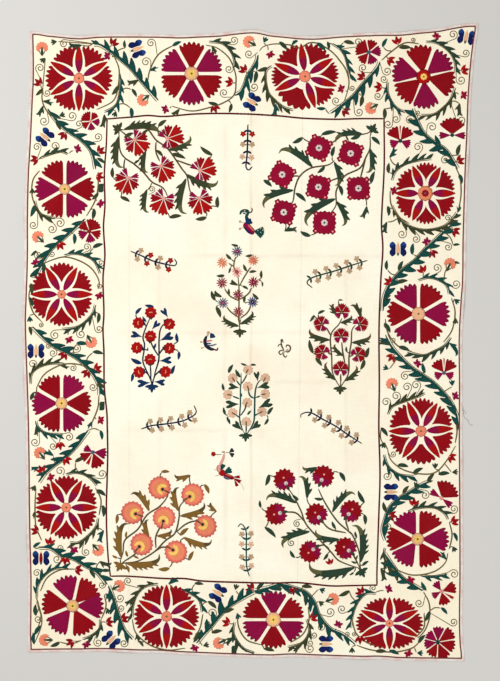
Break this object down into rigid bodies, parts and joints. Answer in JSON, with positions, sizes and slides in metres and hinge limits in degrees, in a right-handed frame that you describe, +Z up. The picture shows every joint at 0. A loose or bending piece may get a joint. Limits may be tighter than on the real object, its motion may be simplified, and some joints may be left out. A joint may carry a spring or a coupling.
{
  "type": "suzani embroidered textile",
  "caption": "Large embroidered suzani wall cloth with floral sprays, rosette border and bound edge, laid flat on a floor.",
  "frame": {"origin": "middle of the cloth's bounding box, on the floor it lies on", "axes": "+X across the cloth to its right side, +Y along the cloth to its head, +Z up from the floor through the embroidered face"},
  "size_m": [1.7329, 2.4252, 0.0066],
  "materials": {
    "ground_cotton": "hand-woven plain cotton, warm white",
    "braid_silk": "dark red couched silk",
    "binding_cotton": "white cotton strip, tinted pink where the red braid has bled"
  },
  "bodies": {
    "root": {"panel_left": "ground_cotton", "panel_middle": "ground_cotton", "panel_right": "ground_cotton", "braid_head": "braid_silk", "braid_right": "braid_silk", "braid_foot": "braid_silk", "braid_left": "braid_silk", "binding_head": "binding_cotton", "binding_right": "binding_cotton", "binding_foot": "binding_cotton", "binding_left": "binding_cotton"}
  },
  "joints": []
}
